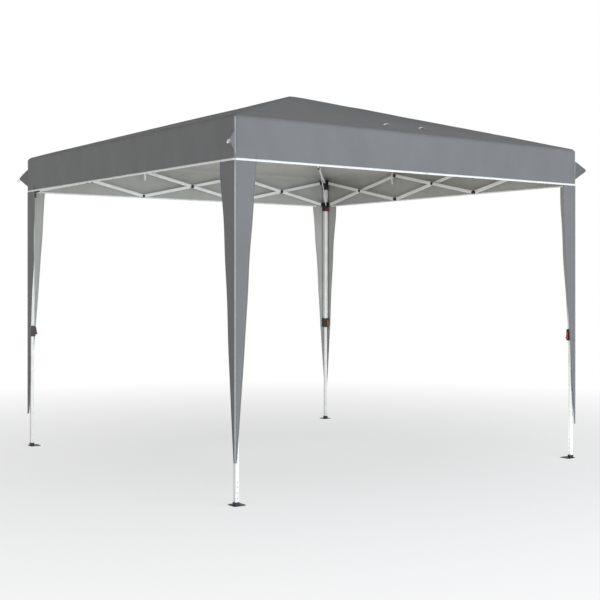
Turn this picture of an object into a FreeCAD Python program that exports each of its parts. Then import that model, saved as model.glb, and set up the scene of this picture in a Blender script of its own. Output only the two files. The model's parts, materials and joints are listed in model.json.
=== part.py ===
"""A 3 m by 3 m pop-up gazebo: scissor trusses, folding rafters, telescopic legs and a fabric canopy.

Millimetres. The origin is on the ground under the centre of the canopy, +Z is up, +X runs from the
near leg to the right leg and +Y from the near leg to the left leg. The frame has fourfold rotational
symmetry, so each corner and each side is modelled once, at the near leg, and turned into its place.
"""
import FreeCAD, Part
import math
import os

V = FreeCAD.Vector

# Driving dimensions
LEG_SPACING = 2920.0       # between leg axes
TOP_PIVOT_Z = 2210.0       # bars and rafters on the top brackets
SLIDER_PIVOT_Z = 2003.0    # bars and struts on the sliders
PIVOT_REACH = 38.0         # leg axis to the bar pivots, along each side
RAFTER_REACH = 50.0        # leg axis to the rafter and strut pivots, along the diagonal
YOKE_REACH = 34.0          # leg axis to the back of the rafter's yoke, clear of the bars
RAFTER_RISE = 12.4         # degrees
RAFTER_LONG = 1040.0       # rafter pivot to the mouth of its pole socket
STRUT_AT = 445.0           # rafter pivot to strut joint, along the rafter
HUB_REACH = 40.0           # hub axis to the roof poles' inner ends
BAYS = 3                   # crossed pairs on each side

OUTER_LEG = 32.0
OUTER_WALL = 1.3
OUTER_FOOT_Z = 870.0
OUTER_TOP_Z = 2232.0
LEVER_PIVOT_Z = OUTER_FOOT_Z + 48
LEVER_PIN_R = 2.5
INNER_LEG = 25.0
INNER_WALL = 1.3
INNER_TOP_Z = 1120.0
FOOT_PLATE = 80.0
FOOT_THICK = 4.0
FOOT_INWARD = 14.0         # plate centre from the leg axis, along X and along Y
PEG_HOLE_R = 4.5
PEG_AT = 40.0              # leg axis to the peg hole, along X and along Y

BAR_DEEP = 25.0
BAR_THICK = 12.0
BAR_WALL = 1.1
PLANE = 7.0                # bar planes, each side of the line between leg axes
CAP_LONG = 26.0            # pivot to the inner end of a bar's plastic end
PIN_R = 4.0
HOLE_R = 4.05
HEAD_R = 8.0
HEAD_THICK = 3.0
EAR_THICK = 3.0
EAR_GAP = 0.5
EAR_R = 15.0

ROD_R = 8.0                # rafter
ROD_WALL = 1.2
POLE_R = 4.75              # flexible roof pole
POLE_BORE_R = 5.2
POLE_DEPTH = 34.0          # length of pole inside the rafter's socket
STRUT_DEEP = 14.0
STRUT_THICK = 5.0
STRUT_SIDE = 9.5           # rafter axis to the strut's near face

CANOPY_HALF = 1490.0
CANOPY_THICK = 0.8
EAVE_Z = 2244.0
PEAK_Z = 2700.0
VALANCE_Z = 1990.0
COVER_TOP_Z = 1985.0
COVER_WAIST_Z = 1256.0
COVER_FOOT_Z = 250.0
COVER_WIDE = 150.0         # each strip's width at the valance, at mid-height and at its foot
COVER_WAIST = 96.0
COVER_NARROW = 14.0
TAB_LOW_Z = 2030.0
TAB_HIGH_Z = 2170.0
TAB_OUT = 80.0

HALF = LEG_SPACING / 2
BAY = (LEG_SPACING - 2 * PIVOT_REACH) / BAYS
BAR_LONG = math.hypot(BAY, TOP_PIVOT_Z - SLIDER_PIVOT_Z)
BAR_SLOPE = math.degrees(math.atan2(TOP_PIVOT_Z - SLIDER_PIVOT_Z, BAY))
CORNERS = ["near", "right", "back", "left"]
SIDES = ["front_right", "back_right", "back_left", "front_left"]


def box(x0, x1, y0, y1, z0, z1):
    return Part.makeBox(x1 - x0, y1 - y0, z1 - z0, V(x0, y0, z0))


def rounded_post(size, z0, z1, radius, x=0.0, y=0.0):
    """An upright square post with round vertical edges."""
    post = box(x - size / 2, x + size / 2, y - size / 2, y + size / 2, z0, z1)
    upright = [e for e in post.Edges if abs(e.tangentAt(e.FirstParameter).z) > 0.99]
    return post.makeFillet(radius, upright)


def across(radius, y0, y1, x, z):
    """A cylinder along Y."""
    return Part.makeCylinder(radius, y1 - y0, V(x, y0, z), V(0, 1, 0))


def bolt(y0, y1, x, z, radius=PIN_R, head=HEAD_R, thick=HEAD_THICK):
    """A bolt along Y with a round cap outside y0 and y1."""
    shank = across(radius, y0 - thick / 2, y1 + thick / 2, x, z)
    caps = [across(head, y0 - thick, y0, x, z), across(head, y1, y1 + thick, x, z)]
    return shank.multiFuse(caps).removeSplitter()


def ear(y0, y1, x_root, x, z, radius=EAR_R, hole=HOLE_R):
    """A lug in an XZ plane, square at x_root and round about its pin hole."""
    plate = box(x_root, x, y0, y1, z - radius, z + radius)
    return plate.fuse(across(radius, y0, y1, x, z)).cut(across(hole, y0 - 1, y1 + 1, x, z))


def ears(bar_y, x_root, x, z, thick=BAR_THICK):
    """The two lugs on either side of a bar whose middle plane is y = bar_y."""
    inner = thick / 2 + EAR_GAP
    outer = inner + EAR_THICK
    return [ear(bar_y - outer, bar_y - inner, x_root, x, z),
            ear(bar_y + inner, bar_y + outer, x_root, x, z)]


def ear_bolt(bar_y, x, z, thick=BAR_THICK):
    half = thick / 2 + EAR_GAP + EAR_THICK
    return bolt(bar_y - half, bar_y + half, x, z)


def turned(shape, degrees, centre=V(0, 0, 0), axis=V(0, 0, 1)):
    copy = shape.copy()
    copy.rotate(centre, axis, degrees)
    return copy


def to_other_face(shape):
    """From the face of a corner that looks along +X to the face that looks along +Y."""
    return shape.mirror(V(0, 0, 0), V(1, -1, 0))


def at_corner(shape, corner):
    """A shape drawn about the near leg's axis, moved to that leg and turned to the corner."""
    moved = shape.copy()
    moved.translate(V(-HALF, -HALF, 0))
    return turned(moved, 90 * CORNERS.index(corner))


def on_diagonal(shape):
    """A shape drawn with X along the diagonal towards the tent's middle, turned to it."""
    return turned(shape, 45)


def export(name, solids):
    shape = Part.makeCompound(solids)
    shape.exportStep(f"parts/{name}.step")


# Corner pieces, drawn about the near leg's axis

def outer_tube():
    tube = rounded_post(OUTER_LEG, OUTER_FOOT_Z, OUTER_TOP_Z, 4)
    bore = rounded_post(OUTER_LEG - 2 * OUTER_WALL, OUTER_FOOT_Z - 1, OUTER_TOP_Z + 1, 2.7)
    return tube.cut(bore)


def top_bracket():
    """The moulding on the leg's top, with lugs for two bars and the rafter."""
    size = 44.0
    low = TOP_PIVOT_Z - 65
    body = rounded_post(size, low, OUTER_TOP_Z + 5, 6)
    socket = rounded_post(OUTER_LEG + 0.4, low - 1, OUTER_TOP_Z, 4)
    root = OUTER_LEG / 2 + 2
    lugs = ears(-PLANE, root, PIVOT_REACH, TOP_PIVOT_Z)
    lugs += [to_other_face(e) for e in ears(PLANE, root, PIVOT_REACH, TOP_PIVOT_Z)]
    yoke = ears(0, YOKE_REACH, RAFTER_REACH, TOP_PIVOT_Z, 2 * ROD_R)
    half = ROD_R + EAR_GAP + EAR_THICK
    yoke.append(box(YOKE_REACH, RAFTER_REACH - ROD_R - 2, -half, half,
                    TOP_PIVOT_Z - EAR_R, TOP_PIVOT_Z + EAR_R))
    yoke.append(box(root + 4, YOKE_REACH + 1, -6, 6, TOP_PIVOT_Z - EAR_R, TOP_PIVOT_Z + EAR_R))
    lugs += [on_diagonal(e) for e in yoke]
    return body.multiFuse(lugs).cut(socket).removeSplitter()


def lever_pin(radius, half_length):
    """The height lever's pin, or the hole for it in the housing."""
    return Part.makeCylinder(radius, 2 * half_length, V(-half_length, 31, LEVER_PIVOT_Z), V(1, 0, 0))


def sleeve():
    """The height adjuster at the outer tube's foot, which guides the inner leg."""
    low, high = OUTER_FOOT_Z - 12, OUTER_FOOT_Z + 70
    body = rounded_post(46, low, high, 7)
    housing = box(-13, 13, 20, 33, low + 14, high - 12)
    upright = [e for e in housing.Edges if abs(e.tangentAt(e.FirstParameter).z) > 0.99]
    body = body.fuse(housing.makeFillet(3, upright))
    slot = box(-8, 8, 25, 34, low + 13, high - 11).fuse(lever_pin(LEVER_PIN_R + 0.05, 11.5))
    outer = rounded_post(OUTER_LEG + 0.4, OUTER_FOOT_Z, high + 1, 4)
    inner = rounded_post(INNER_LEG + 1.0, low - 1, high, 3)
    return body.cut(slot).cut(outer).cut(inner)


def cover_panel():
    """The fabric strip down the leg on the face that looks along -Y."""
    y0 = HALF - CANOPY_HALF
    x0 = y0 + CANOPY_THICK
    waist = V(x0 + COVER_WAIST, y0, COVER_WAIST_Z)
    top, foot = V(x0 + COVER_WIDE, y0, COVER_TOP_Z), V(x0 + COVER_NARROW, y0, COVER_FOOT_Z)
    curve = Part.Arc(top, waist, foot).toShape()
    points = [foot, V(x0, y0, COVER_FOOT_Z), V(x0, y0, COVER_TOP_Z), top]
    outline = Part.Wire([curve] + [Part.makeLine(a, b) for a, b in zip(points, points[1:])])
    return Part.Face(outline).extrude(V(0, CANOPY_THICK, 0))


def outer_leg():
    bolts = [ear_bolt(-PLANE, PIVOT_REACH, TOP_PIVOT_Z),
             to_other_face(ear_bolt(PLANE, PIVOT_REACH, TOP_PIVOT_Z)),
             on_diagonal(ear_bolt(0, RAFTER_REACH, TOP_PIVOT_Z, 2 * ROD_R))]
    return [outer_tube(), top_bracket(), sleeve()] + bolts


def leg_cover():
    """The canopy's fabric corner, which runs down the outside of the leg."""
    return [cover_panel(), to_other_face(cover_panel())]


def inner_leg():
    """The lower tube, with its foot plate and the collar that holds the tube on it."""
    tube = rounded_post(INNER_LEG, FOOT_THICK, INNER_TOP_Z, 3)
    tube = tube.cut(rounded_post(INNER_LEG - 2 * INNER_WALL, 0, INNER_TOP_Z + 1, 1.7))
    for z in (45, 75, 110, 135):
        tube = tube.cut(across(3.5, -INNER_LEG, INNER_LEG, 0, z))
    shift = FOOT_INWARD
    plate = rounded_post(FOOT_PLATE, 0, FOOT_THICK, 12, shift, shift)
    collar = rounded_post(INNER_LEG + 7, 0, 22, 5)
    foot = plate.fuse(collar).cut(rounded_post(INNER_LEG, FOOT_THICK, 23, 3))
    foot = foot.cut(Part.makeCylinder(PEG_HOLE_R, FOOT_THICK + 2, V(PEG_AT, PEG_AT, -1)))
    return [tube, foot]


def slider():
    """The moulding that runs on the outer tube and carries the lower bar ends and the strut."""
    low, high = SLIDER_PIVOT_Z - 57, SLIDER_PIVOT_Z + 27
    body = rounded_post(46, SLIDER_PIVOT_Z - 22, high, 7).fuse(
        rounded_post(42, low, SLIDER_PIVOT_Z - 22, 6))
    bore = rounded_post(OUTER_LEG + 1.0, low - 1, high + 1, 4.4)
    root = OUTER_LEG / 2 + 2
    lugs = ears(PLANE, root, PIVOT_REACH, SLIDER_PIVOT_Z)
    lugs += [to_other_face(e) for e in ears(-PLANE, root, PIVOT_REACH, SLIDER_PIVOT_Z)]
    lugs.append(on_diagonal(ear(STRUT_SIDE - 5.5, STRUT_SIDE - 0.5, root + 4, RAFTER_REACH,
                                SLIDER_PIVOT_Z, 11)))
    body = body.multiFuse(lugs).cut(bore).removeSplitter()
    body = body.cut(across(5.5, 15, 30, 0, SLIDER_PIVOT_Z - 40))
    bolts = [ear_bolt(PLANE, PIVOT_REACH, SLIDER_PIVOT_Z),
             to_other_face(ear_bolt(-PLANE, PIVOT_REACH, SLIDER_PIVOT_Z)),
             on_diagonal(bolt(STRUT_SIDE - 5.5, STRUT_SIDE + STRUT_THICK + 0.5, RAFTER_REACH,
                              SLIDER_PIVOT_Z, head=6, thick=2))]
    return [body] + bolts


def height_lever():
    """The thumb lever that frees the inner leg, hinged at its top in the sleeve's housing."""
    low, high = OUTER_FOOT_Z + 6, LEVER_PIVOT_Z + 4
    profile = [V(-7, 28.5, low), V(-7, 28.5, high), V(-7, 34, high), V(-7, 43, low + 6), V(-7, 43, low)]
    tip = box(-9, 9, 35, 45, OUTER_FOOT_Z + 3, OUTER_FOOT_Z + 13)
    blade = prism(profile, V(14, 0, 0))
    return [blade.multiFuse([tip, lever_pin(LEVER_PIN_R, 11)]).removeSplitter()]


def slider_pull():
    """The sprung pull that locks the slider to the leg: a broad block on a shank, with a lip."""
    z = SLIDER_PIVOT_Z - 40
    grip = box(-17, 17, 21.5, 31, z - 16, z + 15)
    corners = [e for e in grip.Edges if abs(e.tangentAt(e.FirstParameter).y) > 0.99]
    lip = box(-14, 14, 30, 35, z - 16, z - 10)
    return [across(5, 16.9, 24, 0, z).multiFuse([grip.makeFillet(4, corners), lip]).removeSplitter()]


# Bars, drawn in the XZ plane from a pivot at the origin, along +X

def bar(plane, pins=()):
    """One truss bar: a rectangular tube, its two plastic ends, and the bolts that it carries."""
    tube = box(CAP_LONG, BAR_LONG - CAP_LONG, -BAR_THICK / 2, BAR_THICK / 2,
               -BAR_DEEP / 2, BAR_DEEP / 2)
    along = [e for e in tube.Edges if abs(e.tangentAt(e.FirstParameter).x) > 0.99]
    tube = tube.makeFillet(2, along)
    inside = BAR_THICK / 2 - BAR_WALL
    tube = tube.cut(box(CAP_LONG - 1, BAR_LONG - CAP_LONG + 1, -inside, inside,
                        -BAR_DEEP / 2 + BAR_WALL, BAR_DEEP / 2 - BAR_WALL))
    tube = tube.cut(across(HOLE_R, -BAR_THICK, BAR_THICK, BAR_LONG / 2, 0))
    end = box(0, CAP_LONG, -BAR_THICK / 2, BAR_THICK / 2, -BAR_DEEP / 2, BAR_DEEP / 2)
    end = end.fuse(across(BAR_DEEP / 2, -BAR_THICK / 2, BAR_THICK / 2, 0, 0))
    end = end.cut(across(HOLE_R, -BAR_THICK, BAR_THICK, 0, 0)).removeSplitter()
    far_end = turned(end, 180, V(BAR_LONG / 2, 0, 0))
    solids = [tube, end, far_end]
    outer = PLANE + BAR_THICK / 2
    for x in pins:
        gap = across(HEAD_R, -PLANE + BAR_THICK / 2, PLANE - BAR_THICK / 2, x, 0)
        pin = bolt(-outer, outer, x, 0).fuse(gap).removeSplitter()
        pin.translate(V(0, -plane, 0))
        solids.append(pin)
    return solids


def place_bar(solids, side, bay, plane, rising):
    """Lay a bar across one bay of a side, in its plane, rising or falling from the bay's start."""
    z = SLIDER_PIVOT_Z if rising else TOP_PIVOT_Z
    start = V(-HALF + PIVOT_REACH + bay * BAY, -HALF + plane, z)
    placed = []
    for solid in solids:
        piece = turned(solid, -BAR_SLOPE if rising else BAR_SLOPE, V(0, 0, 0), V(0, 1, 0))
        piece.translate(start)
        placed.append(turned(piece, 90 * SIDES.index(side)))
    return placed


def trusses():
    """Every bar by its node's name. Falling bars carry the bolts at mid-span and at inner ends."""
    nodes = {}
    for side in SIDES:
        for bay in range(BAYS):
            pins = [BAR_LONG / 2]
            pins += [0.0] if bay > 0 else []
            pins += [BAR_LONG] if bay < BAYS - 1 else []
            falling, rising = bar(-PLANE, pins), bar(PLANE)
            nodes[f"bar_{side}_fall_{bay + 1}"] = place_bar(falling, side, bay, -PLANE, False)
            nodes[f"bar_{side}_rise_{bay + 1}"] = place_bar(rising, side, bay, PLANE, True)
    return nodes


# Rafters and roof poles, drawn with X along the rafter from its pivot on the top bracket

POLE_END = (HALF * math.sqrt(2) - HUB_REACH - RAFTER_REACH) / math.cos(math.radians(RAFTER_RISE))


def rod(radius, x0, x1, bore):
    axis = V(1, 0, 0)
    outside = Part.makeCylinder(radius, x1 - x0, V(x0, 0, 0), axis)
    return outside.cut(Part.makeCylinder(bore, x1 - x0 + 2, V(x0 - 1, 0, 0), axis))


def rafter():
    """The rigid rod, with its eye, the collar for the strut and the socket for the roof pole."""
    eye = box(0, 24, -ROD_R, ROD_R, -ROD_R, ROD_R).fuse(across(ROD_R, -ROD_R, ROD_R, 0, 0))
    eye = eye.cut(across(HOLE_R, -ROD_R - 1, ROD_R + 1, 0, 0)).removeSplitter()
    socket_root = RAFTER_LONG - 62
    tube = rod(ROD_R, 24, socket_root, ROD_R - ROD_WALL)
    collar = box(STRUT_AT - 22, STRUT_AT + 22, -9, 9, -10, 10)
    collar = collar.cut(Part.makeCylinder(ROD_R, 60, V(STRUT_AT - 30, 0, 0), V(1, 0, 0)))
    socket = rod(ROD_R + 2.5, socket_root, RAFTER_LONG, POLE_BORE_R)
    return [eye, tube, collar, socket]


def roof_pole():
    """The flexible pole from the rafter's socket to the hub."""
    start = RAFTER_LONG - POLE_DEPTH
    return [Part.makeCylinder(POLE_R, POLE_END - start, V(start, 0, 0), V(1, 0, 0))]


def along_rafter(solids, corner):
    placed = []
    for solid in solids:
        piece = turned(solid, -RAFTER_RISE, V(0, 0, 0), V(0, 1, 0))
        piece.translate(V(RAFTER_REACH, 0, TOP_PIVOT_Z))
        placed.append(at_corner(on_diagonal(piece), corner))
    return placed


def strut(corner):
    """The brace from the slider to the rafter's collar, beside the rafter."""
    rise = math.radians(RAFTER_RISE)
    run, height = STRUT_AT * math.cos(rise), STRUT_AT * math.sin(rise)
    height += TOP_PIVOT_Z - SLIDER_PIVOT_Z
    length, slope = math.hypot(run, height), math.degrees(math.atan2(height, run))
    y0, y1 = STRUT_SIDE, STRUT_SIDE + STRUT_THICK
    half = STRUT_DEEP / 2
    brace = box(0, length, y0, y1, -half, half)
    brace = brace.multiFuse([across(half, y0, y1, x, 0) for x in (0, length)])
    brace = brace.cut(across(HOLE_R, y0 - 1, y1 + 1, 0, 0)).removeSplitter()
    cap = across(6, y1, y1 + 3, length, 0)
    placed = []
    for solid in (brace, cap):
        piece = turned(solid, -slope, V(0, 0, 0), V(0, 1, 0))
        piece.translate(V(RAFTER_REACH, 0, SLIDER_PIVOT_Z))
        placed.append(at_corner(on_diagonal(piece), corner))
    return placed


def hub():
    """The block at the peak that holds the roof poles, with the pad that lifts the canopy."""
    z = TOP_PIVOT_Z + POLE_END * math.sin(math.radians(RAFTER_RISE))
    body = Part.makeCylinder(34, 40, V(0, 0, z - 20))
    pad = Part.makeCylinder(42, PEAK_Z - 20 - (z + 20), V(0, 0, z + 20))
    arms, bores = [], []
    for quarter in range(4):
        for radius, start, end, shapes in ((10, -44, 16, arms), (POLE_BORE_R, -50, 3, bores)):
            arm = Part.makeCylinder(radius, end - start, V(start, 0, 0), V(1, 0, 0))
            arm = turned(arm, -RAFTER_RISE, V(0, 0, 0), V(0, 1, 0))
            arm.translate(V(-HUB_REACH, 0, z))
            shapes.append(turned(arm, 45 + 90 * quarter))
    solid = body.multiFuse([pad] + arms)
    for bore in bores:
        solid = solid.cut(bore)
    return [solid.removeSplitter()]


# Canopy

def prism(points, offset):
    """A closed plate from a flat outline and the vector to its other face."""
    return Part.Face(Part.makePolygon(points + points[:1])).extrude(offset)


def roof_panels():
    peak = V(0, 0, PEAK_Z)
    corners = [V(-CANOPY_HALF, -CANOPY_HALF, EAVE_Z), V(CANOPY_HALF, -CANOPY_HALF, EAVE_Z)]
    panel = prism([corners[0], corners[1], peak], V(0, 0, -CANOPY_THICK))
    return [turned(panel, 90 * n) for n in range(4)]


def valance_panels():
    far, near = CANOPY_HALF, CANOPY_HALF - CANOPY_THICK
    panel = box(-far, near, -far, -near, VALANCE_Z, EAVE_Z - 2 * CANOPY_THICK)
    return [turned(panel, 90 * n) for n in range(4)]


def guy_tabs():
    """The pointed fabric tab at each corner, which takes a guy rope."""
    start = CANOPY_HALF * math.sqrt(2) + 0.5
    middle = (TAB_LOW_Z + TAB_HIGH_Z) / 2
    points = [V(-start, -0.75, TAB_LOW_Z), V(-start, -0.75, TAB_HIGH_Z),
              V(-start - TAB_OUT, -0.75, middle)]
    tab = turned(prism(points, V(0, 1.5, 0)), 45)
    return [turned(tab, 90 * n) for n in range(4)]


def main():
    os.makedirs("parts", exist_ok=True)
    corner_pieces = {"leg_upper": outer_leg(), "leg_lower": inner_leg(), "leg_cover": leg_cover(),
                     "slider": slider(), "height_lever": height_lever(),
                     "slider_pull": slider_pull()}
    poles = []
    for corner in CORNERS:
        for name, solids in corner_pieces.items():
            export(f"{name}_{corner}", [at_corner(s, corner) for s in solids])
        export(f"rafter_{corner}", along_rafter(rafter(), corner))
        export(f"strut_{corner}", strut(corner))
        poles += along_rafter(roof_pole(), corner)
    for name, solids in trusses().items():
        export(name, solids)
    export("roof_poles", poles)
    export("peak_hub", hub())
    export("canopy_roof", roof_panels())
    export("canopy_valance", valance_panels() + guy_tabs())


main()
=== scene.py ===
"""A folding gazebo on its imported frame: camera, light, finishes, cloth and small fittings.

Metres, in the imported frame's axes: the origin is on the ground under the middle of the canopy, +Z
is up, +X runs from the near leg to the right leg and +Y from the near leg to the left leg. Each
side is drawn once, where it faces -Y, and each corner once, at the near leg; quarter turns place
the others.
"""
import json
import math

import bpy
from mathutils import Matrix, Vector, noise


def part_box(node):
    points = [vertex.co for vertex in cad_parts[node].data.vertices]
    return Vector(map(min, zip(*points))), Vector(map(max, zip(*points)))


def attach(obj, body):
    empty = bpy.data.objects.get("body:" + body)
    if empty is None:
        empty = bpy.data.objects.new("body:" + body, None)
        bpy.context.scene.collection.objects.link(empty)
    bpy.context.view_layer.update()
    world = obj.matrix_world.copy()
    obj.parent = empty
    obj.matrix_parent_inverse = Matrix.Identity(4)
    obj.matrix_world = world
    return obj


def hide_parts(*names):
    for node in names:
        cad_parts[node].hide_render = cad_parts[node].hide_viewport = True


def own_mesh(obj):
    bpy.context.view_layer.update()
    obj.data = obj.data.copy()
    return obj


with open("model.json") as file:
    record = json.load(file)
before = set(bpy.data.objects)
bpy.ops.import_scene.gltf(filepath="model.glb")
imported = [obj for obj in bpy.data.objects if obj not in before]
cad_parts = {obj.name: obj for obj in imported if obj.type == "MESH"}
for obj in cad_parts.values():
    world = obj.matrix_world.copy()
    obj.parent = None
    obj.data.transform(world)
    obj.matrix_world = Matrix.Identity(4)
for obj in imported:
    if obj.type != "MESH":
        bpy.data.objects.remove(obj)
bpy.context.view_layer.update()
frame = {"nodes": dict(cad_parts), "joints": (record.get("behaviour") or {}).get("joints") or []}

SIDES = ["front_right", "back_right", "back_left", "front_left"]
CORNERS = ["near", "right", "back", "left"]
UP = Vector((0, 0, 1))


def joint_at(name):
    return Vector(next(j["pos_m"] for j in frame["joints"] if j["name"] == name))


# Sizes read from the frame
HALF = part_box("canopy_roof")[1].x
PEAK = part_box("canopy_roof")[1].z
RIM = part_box("canopy_roof")[0].z
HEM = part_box("canopy_valance")[0].z
FIRST_TOP = joint_at("fold")
FIRST_LOW = joint_at("slider_near_turn")
BAY = -2 * FIRST_TOP.x / 3
LEG = -FIRST_TOP.y
RAFTER_PIVOT = joint_at("rafter_near_turn")
COVER_LOW, COVER_HEAD = (corner.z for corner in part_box("leg_cover_near"))
POLE_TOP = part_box("roof_poles")[1].z

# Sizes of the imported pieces
SLEEVE_TOP = 0.9405
BRACKET_LOW = FIRST_TOP.z - 0.065
FOOT_COLLAR = 0.0222
RAFTER_RISE = math.radians(12.4)
RAFTER_LONG = 1.040
STRUT_AT = 0.445
POLE_DEPTH = 0.034
POLE_RADIUS = 0.00475

# The sheet's shape
CLOTH = 0.0012
EAVE = RIM + 0.009         # roof planes meet the valance planes, before the edge is rounded
EAVE_ROUND = 0.032
CORNER_ROUND = 0.028
RIDGE_SOFT = 0.05
PEAK_SOFT = 0.03
ROOF_SAG = 0.018
ROOF_SLOPE = math.atan2(PEAK - EAVE, HALF)
COS_SLOPE = math.cos(ROOF_SLOPE)
EAVE_INSET = EAVE_ROUND * (1 - math.sin(ROOF_SLOPE))
EAVE_CENTRE = EAVE + EAVE_INSET * math.tan(ROOF_SLOPE) - EAVE_ROUND * COS_SLOPE
BAND = 0.187               # the roof's rim in plan
INNER = HALF - BAND
CAP = 0.120                # the cloth that stays on the hub, from the middle to its edge
CUT = 0.540                # cuts between the strips that fold down with the bars
ROOF_LOOPS = ((-0.075, 0.306), (0.252, 0.317))    # along the side, and in from the eave

# Leg covers and guy tabs
COVER_TOP = COVER_HEAD + 0.045
COVER_WIDE, COVER_NARROW = 0.150, 0.014
COVER_POWER = 0.95
COVER_ROUND = 0.010
COVER_INSET = 0.0035
TAB_MIDDLE = 2.100
TAB_HALF = 0.070
TAB_OUT = 0.080
TAB_POINT = 0.006          # half the width left at the tip
TAB_LEAN = math.radians(14)


# Mesh making

def quarter(n):
    return Matrix.Rotation(n * math.pi / 2, 4, "Z")


def add_object(name, vertices, faces, materials, indices=None, smooth=True):
    mesh = bpy.data.meshes.new(name)
    mesh.from_pydata([tuple(v) for v in vertices], [], faces)
    for material in materials:
        mesh.materials.append(material)
    if indices:
        mesh.polygons.foreach_set("material_index", indices)
    mesh.polygons.foreach_set("use_smooth", [smooth] * len(faces))
    mesh.update()
    piece = bpy.data.objects.new(name, mesh)
    bpy.context.collection.objects.link(piece)
    return piece


def sweep(path, frames, outline):
    """Vertices and faces of an outline carried along a path; frames holds (side, up) pairs."""
    count = len(outline)
    vertices, faces = [], []
    for point, (side, up) in zip(path, frames):
        vertices += [point + side * a + up * b for a, b in outline]
    for i in range(len(path) - 1):
        for j in range(count):
            k = (j + 1) % count
            faces.append((i * count + j, i * count + k, (i + 1) * count + k, (i + 1) * count + j))
    last = (len(path) - 1) * count
    faces += [tuple(reversed(range(count))), tuple(range(last, last + count))]
    return vertices, faces


def oval(half_wide, half_high, count=12):
    turns = [2 * math.pi * i / count for i in range(count)]
    return [(half_wide * math.cos(t), half_high * math.sin(t)) for t in turns]


def ribbon_outline(wide, thick):
    """A flat strap's section with rounded edges."""
    a, b = wide / 2, thick / 2
    return [(-a, -b * 0.4), (-a + b, -b), (a - b, -b), (a, -b * 0.4),
            (a, b * 0.4), (a - b, b), (-a + b, b), (-a, b * 0.4)]


def strap(name, path, normal, wide, thick, material):
    """A flat strap along a path, its width along normal."""
    frames = []
    for i in range(len(path)):
        ahead = path[min(i + 1, len(path) - 1)] - path[max(i - 1, 0)]
        frames.append((normal, normal.cross(ahead).normalized()))
    vertices, faces = sweep(path, frames, ribbon_outline(wide, thick))
    return add_object(name, vertices, faces, [material])


# Node materials

class Nodes:
    """Short names for the shader nodes that the finishes share."""

    def __init__(self, name):
        self.material = bpy.data.materials.new(name)
        self.material.use_nodes = True
        self.tree = self.material.node_tree
        self.shader = self.tree.nodes["Principled BSDF"]
        self.place = self.tree.nodes.new("ShaderNodeTexCoord").outputs["Object"]

    def link(self, output, node, socket):
        self.tree.links.new(output, node.inputs[socket])

    def value(self, socket, number):
        self.shader.inputs[socket].default_value = number

    def feed(self, node, socket, given):
        if isinstance(given, bpy.types.NodeSocket):
            self.link(given, node, socket)
        else:
            node.inputs[socket].default_value = given

    def math(self, operation, a, b=0.0, clamp=False):
        node = self.tree.nodes.new("ShaderNodeMath")
        node.operation = operation
        node.use_clamp = clamp
        self.feed(node, 0, a)
        self.feed(node, 1, b)
        return node.outputs[0]

    def scaled(self, vector, scale):
        node = self.tree.nodes.new("ShaderNodeMapping")
        node.inputs["Scale"].default_value = scale
        self.link(vector, node, "Vector")
        return node.outputs[0]

    def noise(self, vector, scale, detail=3.0, roughness=0.55):
        node = self.tree.nodes.new("ShaderNodeTexNoise")
        node.inputs["Scale"].default_value = scale
        node.inputs["Detail"].default_value = detail
        node.inputs["Roughness"].default_value = roughness
        self.link(vector, node, "Vector")
        return node.outputs["Fac"]

    def ramp(self, factor, low, high, at=(0.3, 0.7)):
        node = self.tree.nodes.new("ShaderNodeValToRGB")
        for stop, place, colour in zip(node.color_ramp.elements, at, (low, high)):
            stop.position = place
            stop.color = (*colour, 1)
        self.link(factor, node, "Fac")
        return node.outputs["Color"]

    def span(self, factor, low, high, start=0.0, end=1.0):
        node = self.tree.nodes.new("ShaderNodeMapRange")
        for socket, given in zip(("Value", "From Min", "From Max", "To Min", "To Max"),
                                 (factor, start, end, low, high)):
            self.feed(node, socket, given)
        return node.outputs["Result"]

    def mix(self, factor, a, b):
        node = self.tree.nodes.new("ShaderNodeMix")
        node.data_type = "RGBA"
        self.link(factor, node, 0)
        self.feed(node, 6, a)
        self.feed(node, 7, b)
        return node.outputs[2]

    def split(self, vector):
        node = self.tree.nodes.new("ShaderNodeSeparateXYZ")
        self.link(vector, node, 0)
        return node.outputs

    def near(self, point, radius):
        """1 inside a ball round point."""
        node = self.tree.nodes.new("ShaderNodeVectorMath")
        node.operation = "DISTANCE"
        self.link(self.place, node, 0)
        node.inputs[1].default_value = point
        return self.math("LESS_THAN", node.outputs["Value"], radius)

    def bump(self, height, distance, strength=1.0, under=None):
        node = self.tree.nodes.new("ShaderNodeBump")
        node.inputs["Distance"].default_value = distance
        node.inputs["Strength"].default_value = strength
        self.link(height, node, "Height")
        if under is not None:
            self.link(under, node, "Normal")
        return node.outputs["Normal"]


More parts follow.
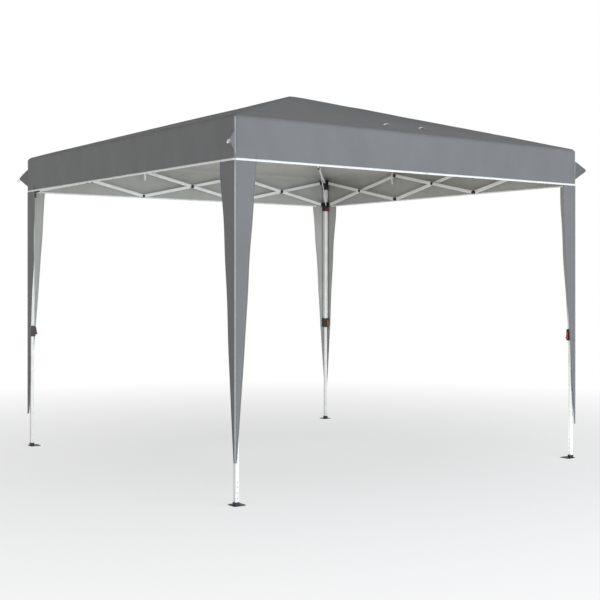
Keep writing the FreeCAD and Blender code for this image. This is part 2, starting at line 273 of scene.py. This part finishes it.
def coated_metal(name, balls=(), below=None, above=None):
    """Off-white powder coat on tube, with black moulded plastic inside balls and past heights."""
    n = Nodes(name)
    z = n.split(n.place)["Z"]
    black = n.math("LESS_THAN", z, -1.0)      # nothing, until a ball or a height adds to it
    for point, radius in balls:
        black = n.math("MAXIMUM", black, n.near(point, radius))
    if below is not None:
        black = n.math("MAXIMUM", black, n.math("LESS_THAN", z, below))
    if above is not None:
        black = n.math("MAXIMUM", black, n.math("GREATER_THAN", z, above))
    patches = n.noise(n.place, 9.0, 4.0)
    paint = n.ramp(patches, (0.62, 0.62, 0.60), (0.72, 0.72, 0.70))
    rubbed = n.span(n.noise(n.place, 60.0, 6.0, 0.7), 0.0, 1.0, 0.66, 0.72)
    paint = n.mix(rubbed, paint, (0.55, 0.55, 0.54, 1))
    plastic = n.ramp(n.noise(n.place, 240.0, 2.0), (0.010, 0.010, 0.011), (0.022, 0.022, 0.024))
    n.link(n.mix(black, paint, plastic), n.shader, "Base Color")
    rough = n.math("ADD", n.span(patches, 0.30, 0.40), n.math("MULTIPLY", black, 0.17))
    n.link(rough, n.shader, "Roughness")
    peel = n.bump(n.noise(n.place, 700.0, 1.0), 0.00015, 0.35)
    dents = n.bump(n.noise(n.scaled(n.place, (1, 1, 0.4)), 30.0, 2.0), 0.0006, 0.25, peel)
    n.link(dents, n.shader, "Normal")
    return n.material


def moulded_plastic(name, dark, light, roughness):
    n = Nodes(name)
    grain = n.noise(n.place, 900.0, 2.0)
    n.link(n.ramp(n.noise(n.place, 45.0, 4.0), dark, light), n.shader, "Base Color")
    n.link(n.span(n.noise(n.place, 80.0, 3.0), roughness - 0.07, roughness + 0.09),
           n.shader, "Roughness")
    n.link(n.bump(grain, 0.0002, 0.4), n.shader, "Normal")
    return n.material


def canopy_cloth(name, dark, light, roughness, sheen):
    """Coated woven polyester: threads, soft creases, faint patches and twin-needle seams."""
    n = Nodes(name)
    uv = n.tree.nodes.new("ShaderNodeUVMap")
    uv.uv_map = "cloth"
    across, along = n.split(uv.outputs["UV"])[0:2]
    edge = n.tree.nodes.new("ShaderNodeAttribute")
    edge.attribute_name = "edge"
    gap = edge.outputs["Fac"]
    thread = 2 * math.pi / 0.0011
    weave = n.math("MULTIPLY", n.math("SINE", n.math("MULTIPLY", across, thread)),
                   n.math("SINE", n.math("MULTIPLY", along, thread)))
    patches = n.noise(n.place, 2.2, 5.0, 0.6)
    streaks = n.noise(n.scaled(n.place, (1, 1, 0.5)), 7.0, 3.0)
    tone = n.math("ADD", n.math("MULTIPLY", patches, 0.6), n.math("MULTIPLY", streaks, 0.4))
    colour = n.ramp(tone, dark, light, (0.35, 0.65))
    folded = n.math("LESS_THAN", gap, 0.016)
    stitch_row = n.math("LESS_THAN", n.math("ABSOLUTE", n.math("SUBTRACT", gap, 0.014)), 0.0008)
    dashes = n.math("GREATER_THAN", n.math("SINE", n.math("MULTIPLY",
                    n.math("ADD", across, along), 2 * math.pi / 0.005)), -0.4)
    stitches = n.math("MULTIPLY", stitch_row, dashes)
    colour = n.mix(n.math("MULTIPLY", folded, 0.18), colour, (*[c * 0.6 for c in dark], 1))
    colour = n.mix(n.math("MULTIPLY", stitches, 0.7), colour, (0.30, 0.31, 0.32, 1))
    n.link(colour, n.shader, "Base Color")
    n.link(n.span(patches, roughness - 0.06, roughness + 0.06, 0.3, 0.7), n.shader, "Roughness")
    n.value("Sheen Weight", sheen)
    n.value("Sheen Roughness", 0.5)
    n.value("Specular IOR Level", 0.20)
    creases = n.bump(n.noise(n.scaled(n.place, (1, 1, 0.7)), 5.5, 4.0, 0.5), 0.014, 0.7)
    crumple = n.bump(n.noise(n.place, 28.0, 3.0, 0.6), 0.0016, 0.5, creases)
    woven = n.bump(weave, 0.00012, 0.5, crumple)
    hem = n.bump(n.math("ADD", n.math("MULTIPLY", folded, 0.6), stitches), 0.0006, 0.6, woven)
    n.link(hem, n.shader, "Normal")
    return n.material


def webbing(name, dark, light):
    """Ribbed white polyester tape."""
    n = Nodes(name)
    ribs = n.math("SINE", n.math("MULTIPLY", n.split(n.place)["Z"], 2 * math.pi / 0.0016))
    weave = n.noise(n.place, 900.0, 2.0)
    n.link(n.ramp(n.noise(n.place, 30.0, 4.0), dark, light), n.shader, "Base Color")
    n.link(n.span(weave, 0.6, 0.8), n.shader, "Roughness")
    n.value("Sheen Weight", 0.2)
    n.link(n.bump(weave, 0.0003, 0.5, n.bump(ribs, 0.0002, 0.4)), n.shader, "Normal")
    return n.material


OUTER = canopy_cloth("canopy_outer", (0.131, 0.133, 0.135), (0.149, 0.151, 0.154), 0.68, 0.03)
LINING = canopy_cloth("canopy_lining", (0.315, 0.312, 0.290), (0.360, 0.357, 0.332), 0.66, 0.08)
TAPE = webbing("white_tape", (0.56, 0.56, 0.555), (0.66, 0.66, 0.655))
# The corner welt is a real raised seam, but its light grey is partly painted highlight: the bright
# line that the rounded corner catches.
WELT_PAINTED_HIGHLIGHT = webbing("corner_welt_painted_highlight", (0.36, 0.37, 0.38), (0.44, 0.45, 0.46))
BLACK = moulded_plastic("black_moulding", (0.009, 0.009, 0.010), (0.020, 0.020, 0.022), 0.48)
RED = moulded_plastic("red_moulding", (0.30, 0.020, 0.018), (0.40, 0.032, 0.026), 0.36)
MAROON = moulded_plastic("maroon_moulding", (0.085, 0.008, 0.009), (0.125, 0.013, 0.014), 0.42)
FIBRE = moulded_plastic("pole_fibre", (0.52, 0.52, 0.50), (0.62, 0.62, 0.59), 0.42)


# The canopy's one surface

VALANCE_ROWS, EAVE_ROWS, BAND_ROWS, STRIP_ROWS, CAP_ROWS = 16, 7, 6, 20, 4
RIM_ROWS = VALANCE_ROWS + EAVE_ROWS + BAND_ROWS


def roof_height(x, y):
    """The roof before its edge is rounded: soft ridges, a soft peak and slack between them."""
    a, b = abs(x), abs(y)
    overlap = max(RIDGE_SOFT - abs(a - b), 0) / RIDGE_SOFT
    out = max(a, b) + overlap * overlap * RIDGE_SOFT / 4
    along = min(a, b) / max(a, b, 1e-6)
    sag = ROOF_SAG * 4 * (out / HALF) * max(1 - out / HALF, 0) * (1 - along * along)
    return PEAK - (PEAK - EAVE) * math.hypot(out, PEAK_SOFT) / HALF - sag


def ring_point(column, inset):
    """A plan point on the rounded square that lies inset inside the valance."""
    kind, value = column
    if kind == "straight":
        return value, -(HALF - inset)
    sign, turn = value
    centre, radius = HALF - CORNER_ROUND, CORNER_ROUND - inset
    return sign * (centre + radius * math.sin(turn)), -(centre + radius * math.cos(turn))


def edge_height(x, y, turn):
    """A point of the rounded eave; turn is 0 where the cloth hangs straight down."""
    inset = EAVE_ROUND * (1 - math.cos(turn))
    drop = EAVE + inset * math.tan(ROOF_SLOPE) - EAVE_CENTRE - EAVE_ROUND * math.sin(turn)
    return roof_height(x, y) - drop


def canopy_columns():
    straight_end = HALF - CORNER_ROUND
    stops = [-straight_end, -INNER, -CUT, -CAP, 0, CAP, CUT, INNER, straight_end]
    columns = [("bend", (-1, math.radians(45 - 11.25 * i))) for i in range(4)]
    for start, end, steps in zip(stops, stops[1:], (7, 28, 15, 4, 4, 15, 28, 7)):
        columns += [("straight", start + (end - start) * i / steps) for i in range(steps)]
    columns.append(("straight", straight_end))
    return columns + [("bend", (1, math.radians(11.25 * i))) for i in range(1, 5)]


def canopy_column_points(column):
    """One column from the hem up the valance, round the eave and up the roof to its ridge."""
    points = []
    x, y = ring_point(column, 0)
    for i in range(VALANCE_ROWS):
        points.append(Vector((x, y, HEM + (EAVE_CENTRE - HEM) * i / VALANCE_ROWS)))
    for i in range(EAVE_ROWS + 1):
        turn = (math.pi / 2 - ROOF_SLOPE) * i / EAVE_ROWS
        inset = EAVE_ROUND * (1 - math.cos(turn))
        x, y = ring_point(column, inset)
        points.append(Vector((x, y, edge_height(x, y, turn))))
    stops = [y] + [-max(abs(x), limit) for limit in (INNER, CAP, 0)]
    for start, end, rows in zip(stops, stops[1:], (BAND_ROWS, STRIP_ROWS, CAP_ROWS)):
        for i in range(1, rows + 1):
            y = start + (end - start) * i / rows
            points.append(Vector((x, y, roof_height(x, y))))
    return points


def slack(point, normal):
    """How far the cloth stands off its taut shape: pleats in the valance, billows in the roof."""
    flatness = max(normal.z, 0.0)
    hang = max(EAVE_CENTRE - point.z, 0.0) / (EAVE_CENTRE - HEM)
    reach = min(abs(point.x), abs(point.y))
    from_corner = min(max((HALF - reach - 0.02) / 0.30, 0.0), 1.0)
    pleat = noise.noise(Vector((point.x * 7.5, point.y * 7.5, point.z * 1.6)))
    pleat += 0.5 * noise.noise(Vector((point.x * 17, point.y * 17, point.z * 3.0 + 4)))
    drape = noise.noise(Vector((point.x * 2.3, point.y * 2.3, point.z * 4.0 + 9)))
    valance = (0.0055 * pleat + 0.005 * drape + 0.002) * from_corner * (0.35 + 0.65 * hang)
    billow = noise.noise(Vector((point.x * 2.6, point.y * 2.6, 1.7)))
    ripple = noise.noise(Vector((point.x * 9.0, point.y * 9.0, 5.1)))
    inland = min((HALF - max(abs(point.x), abs(point.y))) / 0.12, 1.0)
    roof = (0.004 * billow + 0.0012 * ripple + 0.001) * inland
    return valance * (1 - flatness) + roof * flatness


def canopy_surface():
    """The whole canopy as one grid: its points, and its faces tagged with their side and piece."""
    seen, points, faces, tags = {}, [], [], []
    for side in range(4):
        turn = quarter(side)
        grid = []
        for column in canopy_columns():
            ids = []
            for point in canopy_column_points(column):
                placed = turn @ point
                key = tuple(round(c, 5) for c in placed)
                if key not in seen:
                    seen[key] = len(points)
                    points.append(placed)
                ids.append((seen[key], point))
            grid.append(ids)
        for left, right in zip(grid, grid[1:]):
            middle = (left[0][1].x + right[0][1].x) / 2
            half = "start" if middle < 0 else "end"
            strip = 1 + sum(middle > cut for cut in (-CUT, 0, CUT))
            for row in range(len(left) - 1):
                corners = [left[row][0], right[row][0], right[row + 1][0], left[row + 1][0]]
                loop = [c for i, c in enumerate(corners) if c != corners[i - 1]]
                if len(set(loop)) < 3:
                    continue
                faces.append(loop)
                if row < RIM_ROWS:
                    tags.append((side, half))
                else:
                    tags.append((side, strip if row < RIM_ROWS + STRIP_ROWS else "cap"))
    return points, faces, tags


def vertex_normals(points, faces):
    mesh = bpy.data.meshes.new("measure")
    mesh.from_pydata([tuple(p) for p in points], [], faces)
    mesh.update()
    normals = [v.normal.copy() for v in mesh.vertices]
    bpy.data.meshes.remove(mesh)
    return normals


def cloth_piece(name, points, normals, faces, cloth_uv, edge_gap, inside=LINING):
    """Two layers of cloth, closed round the edge and shaded as part of the whole surface."""
    used = sorted({i for f in faces for i in f})
    place = {old: new for new, old in enumerate(used)}
    count = len(used)
    vertices = [points[i] for i in used] + [points[i] - normals[i] * CLOTH for i in used]
    outer = [[place[i] for i in f] for f in faces]
    inner = [[place[i] + count for i in reversed(f)] for f in faces]
    edges = {}
    for face in outer:
        for i in range(len(face)):
            pair = (face[i - 1], face[i])
            if (pair[1], pair[0]) in edges:
                del edges[(pair[1], pair[0])]
            else:
                edges[pair] = True
    rim = [[b, a, a + count, b + count] for a, b in edges]
    indices = [0] * len(outer) + [1] * len(inner) + [0] * len(rim)
    piece = add_object(name, vertices, outer + inner + rim, [OUTER, inside], indices)
    mesh = piece.data
    custom = []
    for polygon in mesh.polygons:
        for vertex in polygon.vertices:
            if polygon.index < len(outer):
                custom.append(normals[used[vertex]])
            elif polygon.index < 2 * len(outer):
                custom.append(-normals[used[vertex - count]])
            else:
                custom.append(polygon.normal.copy())
    mesh.normals_split_custom_set([tuple(c) for c in custom])
    layer = mesh.uv_layers.new(name="cloth")
    for loop in mesh.loops:
        layer.data[loop.index].uv = cloth_uv(mesh.vertices[loop.vertex_index].co)
    gaps = mesh.attributes.new("edge", "FLOAT", "POINT")
    gaps.data.foreach_set("value", [edge_gap(v.co) for v in mesh.vertices])
    return piece


def side_uv(side):
    """Along the side and up the cloth, in metres, for the weave."""
    back = quarter(-side)

    def uv(point):
        local = back @ Vector(point)
        return local.x, (local.z - HEM) + max(HALF + local.y, 0) / COS_SLOPE
    return uv


def roof_gap(point):
    """Distance to the sewn seam along the nearest ridge."""
    return abs(abs(point[0]) - abs(point[1])) * math.sqrt(0.5) + 0.004


def rim_gap(point):
    """Distance to the hem's tape, the corner seam or the ridge."""
    return min(point[2] - HEM + 0.002, roof_gap(point))


def make_canopy():
    points, faces, tags = canopy_surface()
    taut = vertex_normals(points, faces)
    points = [p + n * slack(p, n) for p, n in zip(points, taut)]
    normals = vertex_normals(points, faces)
    groups = {}
    for face, tag in zip(faces, tags):
        groups.setdefault(tag, []).append(face)
    for (side, which), group in groups.items():
        rim = which in ("start", "end")
        piece = cloth_piece(f"{'rim' if rim else 'roof'}_{SIDES[side]}_{which}", points, normals,
                            group, side_uv(side), rim_gap if rim else roof_gap)
        if rim:
            make_rim_half(piece, side, which, points, normals, group)
        elif which == "cap":
            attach(piece, "canopy")
        else:
            fold_with_bar(piece, side, which)
        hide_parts("canopy_valance" if rim else "canopy_roof")


def fold_with_bar(piece, side, strip):
    """A roof piece rides on the bar under it and folds down with it."""
    bar = ("fall_1", "fall_2", "rise_2", "rise_3")[strip - 1]
    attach(piece, f"bar_{SIDES[side]}_{bar}")
    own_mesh(piece)


def hang_on_leg(piece, side, which):
    """A piece of the rim rides on its leg."""
    corner = side if which == "start" else (side + 1) % 4
    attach(piece, f"leg_upper_{CORNERS[corner]}")
    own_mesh(piece)
    return CORNERS[corner]


def make_rim_half(piece, side, which, points, normals, group):
    """Half a side's valance with the roof's rim above it, and the tape sewn over its hem."""
    corner = hang_on_leg(piece, side, which)
    back = quarter(-side)
    hem_ids = sorted({i for f in group for i in f if abs(points[i].z - HEM) < 0.003},
                     key=lambda i: (back @ points[i]).x)
    path = [points[i] - normals[i] * CLOTH / 2 + UP * 0.004 for i in hem_ids]
    frames = []
    for i in hem_ids:
        out = Vector((normals[i].x, normals[i].y, 0)).normalized()
        frames.append((out, UP))
    vertices, faces = sweep(path, frames, oval(0.0036, 0.0068))
    tape = add_object(f"hem_{SIDES[side]}_{which}", vertices, [tuple(reversed(f)) for f in faces],
                      [TAPE])
    hang_on_leg(tape, side, which)


# Corner pieces, drawn at the near leg

def cover_width(z):
    share = max(z - COVER_LOW, 0) / (COVER_HEAD - COVER_LOW)
    return COVER_NARROW + (COVER_WIDE - COVER_NARROW) * min(share, 1.0) ** COVER_POWER


def cover_row(z, steps=12):
    """Points across a leg cover at one height: free edge, round the corner, free edge."""
    wide = cover_width(z)
    centre = -(HALF - COVER_INSET - COVER_ROUND)
    row = []
    for i in range(steps):
        reach = (wide - COVER_ROUND) * (1 - i / steps)
        flare = (reach / COVER_WIDE) ** 2
        sway = flare * (0.010 * math.sin(5.2 * z + 0.6) + 0.005 * math.sin(13 * z + reach * 20))
        row.append(Vector((centre + reach, -(HALF - COVER_INSET) + sway + 0.004 * flare, z)))
    for i in range(7):
        turn = math.pi / 2 * i / 6
        row.append(Vector((centre - COVER_ROUND * math.sin(turn),
                           centre - COVER_ROUND * math.cos(turn), z)))
    for i in range(steps - 1, -1, -1):
        reach = (wide - COVER_ROUND) * (1 - i / steps)
        flare = (reach / COVER_WIDE) ** 2
        sway = flare * (0.009 * math.sin(4.6 * z + 2.1) + 0.005 * math.sin(11 * z + reach * 20))
        row.append(Vector((-(HALF - COVER_INSET) + sway + 0.004 * flare, centre + reach, z)))
    return row


def make_leg_cover(index):
    rows = 70
    points, faces = [], []
    heights = [COVER_LOW + (COVER_TOP - COVER_LOW) * i / rows for i in range(rows + 1)]
    for z in heights:
        points += cover_row(z)
    count = len(points) // (rows + 1)
    for r in range(rows):
        for c in range(count - 1):
            a = r * count + c
            faces.append([a + 1, a, a + count, a + count + 1])
    turn = quarter(index)
    placed = [turn @ p for p in points]
    normals = vertex_normals(placed, faces)
    back = quarter(-index)

    def uv(point):
        local = back @ Vector(point)
        return local.x - local.y, local.z

    def gap(point):
        local = back @ Vector(point)
        reach = HALF + max(local.x, local.y)
        return min(max(cover_width(point[2]) - reach, 0), point[2] - COVER_LOW) + 0.003

    cover = cloth_piece(f"cover_{CORNERS[index]}", placed, normals, faces, uv, gap)
    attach(cover, f"leg_upper_{CORNERS[index]}")
    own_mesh(cover)
    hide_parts(f"leg_cover_{CORNERS[index]}")


def make_corner_welt(index):
    """The raised seam down each corner, on the valance and on the leg cover; its light grey is
    partly painted highlight along the corner.
    """
    turn = quarter(index)
    outward = Vector((-1, -1, 0)).normalized()
    side = Vector((1, -1, 0)).normalized()
    valance_out = (HALF - CORNER_ROUND) * math.sqrt(2) + CORNER_ROUND
    cover_round = HALF - COVER_INSET - COVER_ROUND
    cover_out = cover_round * math.sqrt(2) + COVER_ROUND
    seams = (("valance", valance_out, HEM + 0.012, EAVE_CENTRE + 0.012, 10),
             ("cover", cover_out, COVER_LOW, HEM, 40))
    for name, reach, low, high, steps in seams:
        path = [outward * (reach + 0.0004) + UP * (low + (high - low) * i / steps)
                for i in range(steps + 1)]
        vertices, faces = sweep(path, [(outward, side)] * len(path), oval(0.0022, 0.0028, 10))
        welt = add_object(f"welt_{name}_{CORNERS[index]}", [turn @ v for v in vertices], faces,
                          # The welt's light grey is partly painted highlight along the corner.
                          [WELT_PAINTED_HIGHLIGHT])
        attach(welt, f"leg_upper_{CORNERS[index]}")
        if name == "cover":
            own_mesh(welt)


def make_guy_tab(index):
    """The pointed double-cloth tab at a corner, with its loop of tape."""
    turn = quarter(index)
    outward = Vector((-1, -1, 0)).normalized()
    root = outward * ((HALF - CORNER_ROUND) * math.sqrt(2) + CORNER_ROUND - 0.002)
    outward.rotate(Matrix.Rotation(-TAB_LEAN, 3, "Z"))
    side = UP.cross(outward)
    columns, rows = 10, 10
    points, faces = [], []
    for c in range(columns + 1):
        out = c / columns
        half = TAB_HALF * (1 - out) + TAB_POINT * out
        for r in range(rows + 1):
            up = -1 + 2 * r / rows
            curl = 0.004 * math.sin(out * 2.4) * (1 + 0.4 * up)
            points.append(root + outward * TAB_OUT * out + side * curl
                          + UP * (TAB_MIDDLE + half * up - 0.004 * out * out))
    for c in range(columns):
        for r in range(rows):
            a = c * (rows + 1) + r
            faces.append([a, a + 1, a + rows + 2, a + rows + 1])
    placed = [turn @ p for p in points]
    normals = vertex_normals(placed, faces)
    back = quarter(-index)

    def uv(point):
        return (back @ Vector(point) - root).dot(outward), point[2]

    def gap(point):
        out = uv(point)[0] / TAB_OUT
        return max(TAB_HALF * (1 - out) + TAB_POINT - abs(point[2] - TAB_MIDDLE), 0) * 0.75

    tab = cloth_piece(f"tab_{CORNERS[index]}", placed, normals, faces, uv, gap, OUTER)
    tip = root + outward * (TAB_OUT - 0.006) + UP * (TAB_MIDDLE - 0.004)
    path = []
    for i in range(17):
        swing = 2 * math.pi * i / 16
        along = 0.017 * (1 - math.cos(swing))
        across = 0.007 * math.sin(swing)
        path.append(tip + outward * (along * 0.80) - UP * (along * 0.62)
                    + (outward * 0.62 + UP * 0.80) * across)
    loop = strap(f"loop_{CORNERS[index]}", [turn @ p for p in path], turn @ side, 0.008, 0.0016,
                 TAPE)
    for piece in (tab, loop):
        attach(piece, f"leg_upper_{CORNERS[index]}")
    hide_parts("canopy_valance")


# Fittings on each side

def make_roof_loops(side):
    """Two small tape loops sewn on the roof, for a fastening line."""
    turn = quarter(side)
    slope = Vector((0, COS_SLOPE, math.sin(ROOF_SLOPE)))
    normal = Vector((0, -math.sin(ROOF_SLOPE), COS_SLOPE))
    for number, (x, inward) in enumerate(ROOF_LOOPS, 1):
        base = Vector((x, inward - HALF, roof_height(x, inward - HALF)))
        path = []
        for i in range(13):
            share = i / 12
            lift = 0.002 + 0.013 * math.sin(math.pi * share) ** 0.8
            path.append(base + Vector((0.056 * (share - 0.5), 0, 0)) + normal * lift)
        loop = strap(f"roof_loop_{SIDES[side]}_{number}", [turn @ p for p in path], turn @ slope,
                     0.016, 0.0016, TAPE)
        fold_with_bar(loop, side, 2 if x < 0 else 3)


def make_tie_straps(side):
    """The tape that ties the canopy to each inner top joint, with its loose end hanging."""
    turn = quarter(side)
    for joint in (1, 2):
        x = FIRST_TOP.x + BAY * joint
        top = Vector((x, -LEG + 0.030, FIRST_TOP.z + 0.028))
        path = [top + Vector((0.0015 * math.sin(3 * s), 0.006 * math.sin(math.pi * s), -0.105 * s))
                for s in (i / 14 for i in range(15))]
        tie = strap(f"tie_{SIDES[side]}_{joint}", [turn @ p for p in path],
                    turn @ Vector((1, 0, 0)), 0.016, 0.0018, TAPE)
        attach(tie, f"bar_{SIDES[side]}_fall_{joint + 1}")


def make_roof_pole(index):
    """The thin pole from a rafter's socket towards the hub, with its ferrule."""
    inward = Vector((1, 1, 0)).normalized()
    along = (inward * math.cos(RAFTER_RISE) + UP * math.sin(RAFTER_RISE)).normalized()
    side = Vector((1, -1, 0)).normalized()
    up = side.cross(along)
    pivot = Vector(RAFTER_PIVOT)
    end = (POLE_TOP - 0.0047 - pivot.z) / math.sin(RAFTER_RISE)
    start = RAFTER_LONG - POLE_DEPTH
    ferrule = 0.0062
    stations = [(start, POLE_RADIUS), (start + 0.45, POLE_RADIUS), (start + 0.4502, ferrule),
                (start + 0.5098, ferrule), (start + 0.51, POLE_RADIUS),
                (end - 0.002, POLE_RADIUS), (end, 0.0038)]
    vertices, faces = sweep([pivot + along * distance for distance, _ in stations],
                            [(side * radius, up * radius) for _, radius in stations],
                            oval(1, 1, 14))
    turn = quarter(index)
    pole = add_object(f"roof_pole_{CORNERS[index]}", [turn @ v for v in vertices], faces, [FIBRE])
    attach(pole, f"rafter_{CORNERS[index]}")
    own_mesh(pole)
    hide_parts("roof_poles")


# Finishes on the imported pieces

def finish_node(name, material):
    for slot in frame["nodes"][name].material_slots:
        slot.material = material


def truss_point(side, bays, low):
    z = FIRST_LOW.z if low else FIRST_TOP.z
    return quarter(side) @ Vector((FIRST_TOP.x + BAY * bays, -LEG, z))


def finish_bars():
    for side in range(4):
        for bay in range(3):
            middle = (truss_point(side, bay, True) + truss_point(side, bay + 1, False)) / 2
            for rising in (False, True):
                first = truss_point(side, bay, rising)
                last = truss_point(side, bay + 1, not rising)
                name = f"bar_{SIDES[side]}_{'rise' if rising else 'fall'}_{bay + 1}"
                spots = [(middle, 0.020)]
                for end, at, low in ((first, bay, rising), (last, bay + 1, not rising)):
                    spots.append((end, 0.018 if low and at in (1, 2) else 0.0285))
                finish_node(name, coated_metal(f"coat_{name}", spots))


def finish_corners():
    outer_tube = coated_metal("coat_outer_leg", below=SLEEVE_TOP, above=BRACKET_LOW)
    inner_tube = coated_metal("coat_inner_leg", below=FOOT_COLLAR)
    strut = coated_metal("coat_strut")
    for index, corner in enumerate(CORNERS):
        turn = quarter(index)
        along = Vector((math.cos(RAFTER_RISE) * math.sqrt(0.5),
                        math.cos(RAFTER_RISE) * math.sqrt(0.5), math.sin(RAFTER_RISE)))
        pivot = Vector(RAFTER_PIVOT)
        spots = [(turn @ pivot, 0.024), (turn @ (pivot + along * STRUT_AT), 0.026),
                 (turn @ (pivot + along * (RAFTER_LONG - 0.031)), 0.033)]
        finish_node(f"leg_upper_{corner}", outer_tube)
        finish_node(f"leg_lower_{corner}", inner_tube)
        finish_node(f"strut_{corner}", strut)
        finish_node(f"rafter_{corner}", coated_metal(f"coat_rafter_{corner}", spots))
        finish_node(f"slider_{corner}", BLACK)
        finish_node(f"height_lever_{corner}", RED)
        finish_node(f"slider_pull_{corner}", MAROON)
    finish_node("peak_hub", BLACK)


# Camera, floor and light

def place_camera():
    data = bpy.data.cameras.new("camera")
    data.lens = 67.0
    data.sensor_width = 36.0
    data.shift_y = -1 / 30
    camera = bpy.data.objects.new("camera", data)
    camera.location = (-4.992, -6.842, 1.300)
    camera.rotation_euler = (math.pi / 2, 0, -math.radians(36.55))
    bpy.context.collection.objects.link(camera)
    bpy.context.scene.camera = camera


def floor_material():
    """Pale floor that brightens into the backdrop with distance from the tent."""
    n = Nodes("studio_floor")
    where = n.split(n.place)
    square = n.math("ADD", n.math("POWER", where["X"], 2), n.math("POWER", where["Y"], 2))
    far = n.math("SQRT", square)
    n.value("Base Color", (0.86, 0.86, 0.86, 1))
    n.value("Roughness", 0.9)
    n.value("Specular IOR Level", 0.1)
    glow = n.tree.nodes.new("ShaderNodeEmission")
    mix = n.tree.nodes.new("ShaderNodeMixShader")
    out = n.tree.nodes["Material Output"]
    n.link(n.span(far, 0.45, 1.0, 1.0, 6.0), mix, 0)
    n.link(n.shader.outputs[0], mix, 1)
    n.link(glow.outputs[0], mix, 2)
    n.link(mix.outputs[0], out, "Surface")
    return n.material


def make_floor():
    radii, spokes, under_feet = (2.5, 5.0, 7.0, 12.0, 60.0), 64, -0.0005
    vertices, faces = [Vector((0, 0, under_feet))], []
    for radius in radii:
        for i in range(spokes):
            turn = 2 * math.pi * i / spokes
            vertices.append(Vector((radius * math.cos(turn), radius * math.sin(turn), under_feet)))
    for i in range(spokes):
        faces.append((0, 1 + i, 1 + (i + 1) % spokes))
    for ring in range(len(radii) - 1):
        for i in range(spokes):
            a, b = 1 + ring * spokes + i, 1 + ring * spokes + (i + 1) % spokes
            faces.append((a, a + spokes, b + spokes, b))
    add_object("floor", vertices, faces, [floor_material()], smooth=False)


def make_sky():
    """A soft white surround, brighter towards the horizon than overhead."""
    world = bpy.data.worlds.new("studio")
    world.use_nodes = True
    tree = world.node_tree
    place = tree.nodes.new("ShaderNodeTexCoord")
    split = tree.nodes.new("ShaderNodeSeparateXYZ")
    ramp = tree.nodes.new("ShaderNodeValToRGB")
    stops = ramp.color_ramp.elements
    stops[0].position, stops[0].color = 0.30, (1.0, 1.0, 1.0, 1)
    stops[1].position, stops[1].color = 0.85, (0.20, 0.20, 0.20, 1)
    tree.links.new(place.outputs["Generated"], split.inputs[0])
    tree.links.new(split.outputs["Z"], ramp.inputs[0])
    tree.links.new(ramp.outputs[0], tree.nodes["Background"].inputs["Color"])
    bpy.context.scene.world = world


def add_softbox(name, location, target, size, watts, colour):
    data = bpy.data.lights.new(name, "AREA")
    data.shape = "RECTANGLE"
    data.size, data.size_y = size
    data.energy = watts
    data.color = colour
    lamp = bpy.data.objects.new(name, data)
    lamp.location = location
    aim = Vector(target) - Vector(location)
    lamp.rotation_euler = aim.to_track_quat("-Z", "Y").to_euler()
    lamp.visible_camera = False
    bpy.context.collection.objects.link(lamp)


def light_scene():
    make_sky()
    add_softbox("key", (0.0, -9.0, 1.5), (-0.6, -1.5, 1.7), (5.0, 2.2), 560, (0.80, 0.90, 1.0))
    add_softbox("under", (0.2, -0.9, 0.03), (0.2, -0.9, 2.4), (2.6, 2.2), 18, (1.0, 0.985, 0.95))
    bpy.context.scene.view_settings.view_transform = "Standard"


place_camera()
make_floor()
light_scene()
finish_bars()
finish_corners()
make_canopy()
for quarter_turn in range(4):
    make_leg_cover(quarter_turn)
    make_corner_welt(quarter_turn)
    make_guy_tab(quarter_turn)
    make_tie_straps(quarter_turn)
    make_roof_pole(quarter_turn)
for looped_side in (0, 2):
    make_roof_loops(looped_side)
